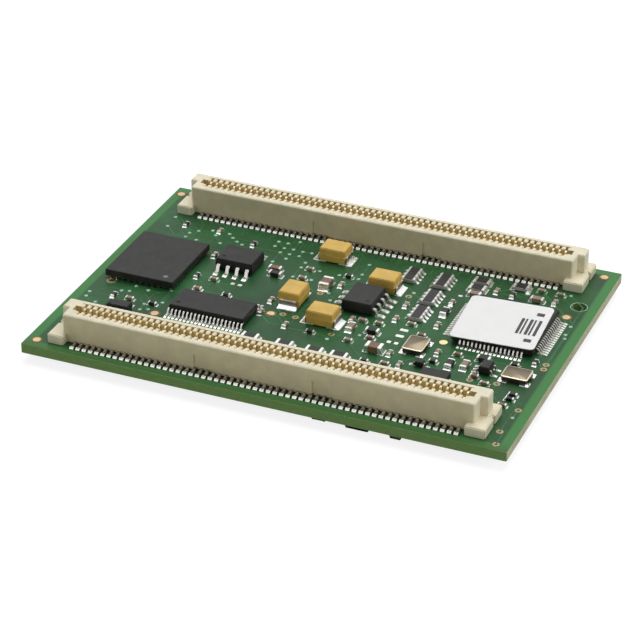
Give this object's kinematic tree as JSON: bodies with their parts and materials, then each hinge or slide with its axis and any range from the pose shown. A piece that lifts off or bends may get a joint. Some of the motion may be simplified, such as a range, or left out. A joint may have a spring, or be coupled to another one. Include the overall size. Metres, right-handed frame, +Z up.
{
  "type": "system on module",
  "caption": "Small green computer module: a flat circuit board with chips and passive components between two tall cream board-to-board connectors along its long edges.",
  "frame": {"origin": "middle of the board's outline, in the plane of the flat chips under the board that the module rests on", "axes": "+X along the board's long side with the mounting hole at the +X end, +Y from the near connector to the far connector, +Z up out of the component side"},
  "size_m": [0.0596, 0.0428, 0.006],
  "materials": {
    "solder_mask_board": "semi-gloss green solder mask",
    "cream_housing": "matt cream moulded plastic",
    "black_mould": "matt dark grey mould compound",
    "white_label": "matt white label stock",
    "ochre_mould": "satin ochre moulded case",
    "metal_lid": "satin warm grey metal lid",
    "resistor_glaze": "satin dark glaze on a white ceramic block",
    "brown_ceramic": "matt brown ceramic with tinned ends"
  },
  "bodies": {
    "root": {"circuit_board": "solder_mask_board", "near_connector": "cream_housing", "far_connector": "cream_housing", "controller_chip": "black_mould", "buffer_chip": "black_mould", "driver_chip_1": "black_mould", "driver_chip_2": "black_mould", "switch_chip": "black_mould", "regulator": "black_mould", "diode": "black_mould", "memory_chip": "black_mould", "power_chip": "black_mould", "processor_chip": "black_mould", "ram_chip_1": "black_mould", "ram_chip_2": "black_mould", "flash_chip": "black_mould", "under_transistor": "black_mould", "controller_label": "white_label", "tantalum_capacitor_1": "ochre_mould", "tantalum_capacitor_2": "ochre_mould", "tantalum_capacitor_3": "ochre_mould", "tantalum_capacitor_4": "ochre_mould", "crystal_1": "metal_lid", "crystal_2": "metal_lid", "resistor_array_1": "resistor_glaze", "resistor_array_2": "resistor_glaze", "resistor_array_3": "resistor_glaze", "resistor_array_4": "resistor_glaze", "chip_resistor_1": "resistor_glaze", "chip_resistor_2": "resistor_glaze", "chip_resistor_3": "resistor_glaze", "chip_resistor_4": "resistor_glaze", "chip_resistor_5": "resistor_glaze", "chip_resistor_6": "resistor_glaze", "chip_resistor_7": "resistor_glaze", "chip_capacitor_1": "brown_ceramic", "chip_capacitor_2": "brown_ceramic", "mid_capacitor_1": "brown_ceramic", "mid_capacitor_2": "brown_ceramic", "mid_capacitor_3": "brown_ceramic", "mid_capacitor_4": "brown_ceramic", "mid_capacitor_5": "brown_ceramic", "mid_capacitor_6": "brown_ceramic", "mid_capacitor_7": "brown_ceramic", "mid_capacitor_8": "brown_ceramic", "mid_capacitor_9": "brown_ceramic", "mid_capacitor_10": "brown_ceramic", "under_capacitor_1": "brown_ceramic", "under_capacitor_2": "brown_ceramic"}
  },
  "joints": []
}
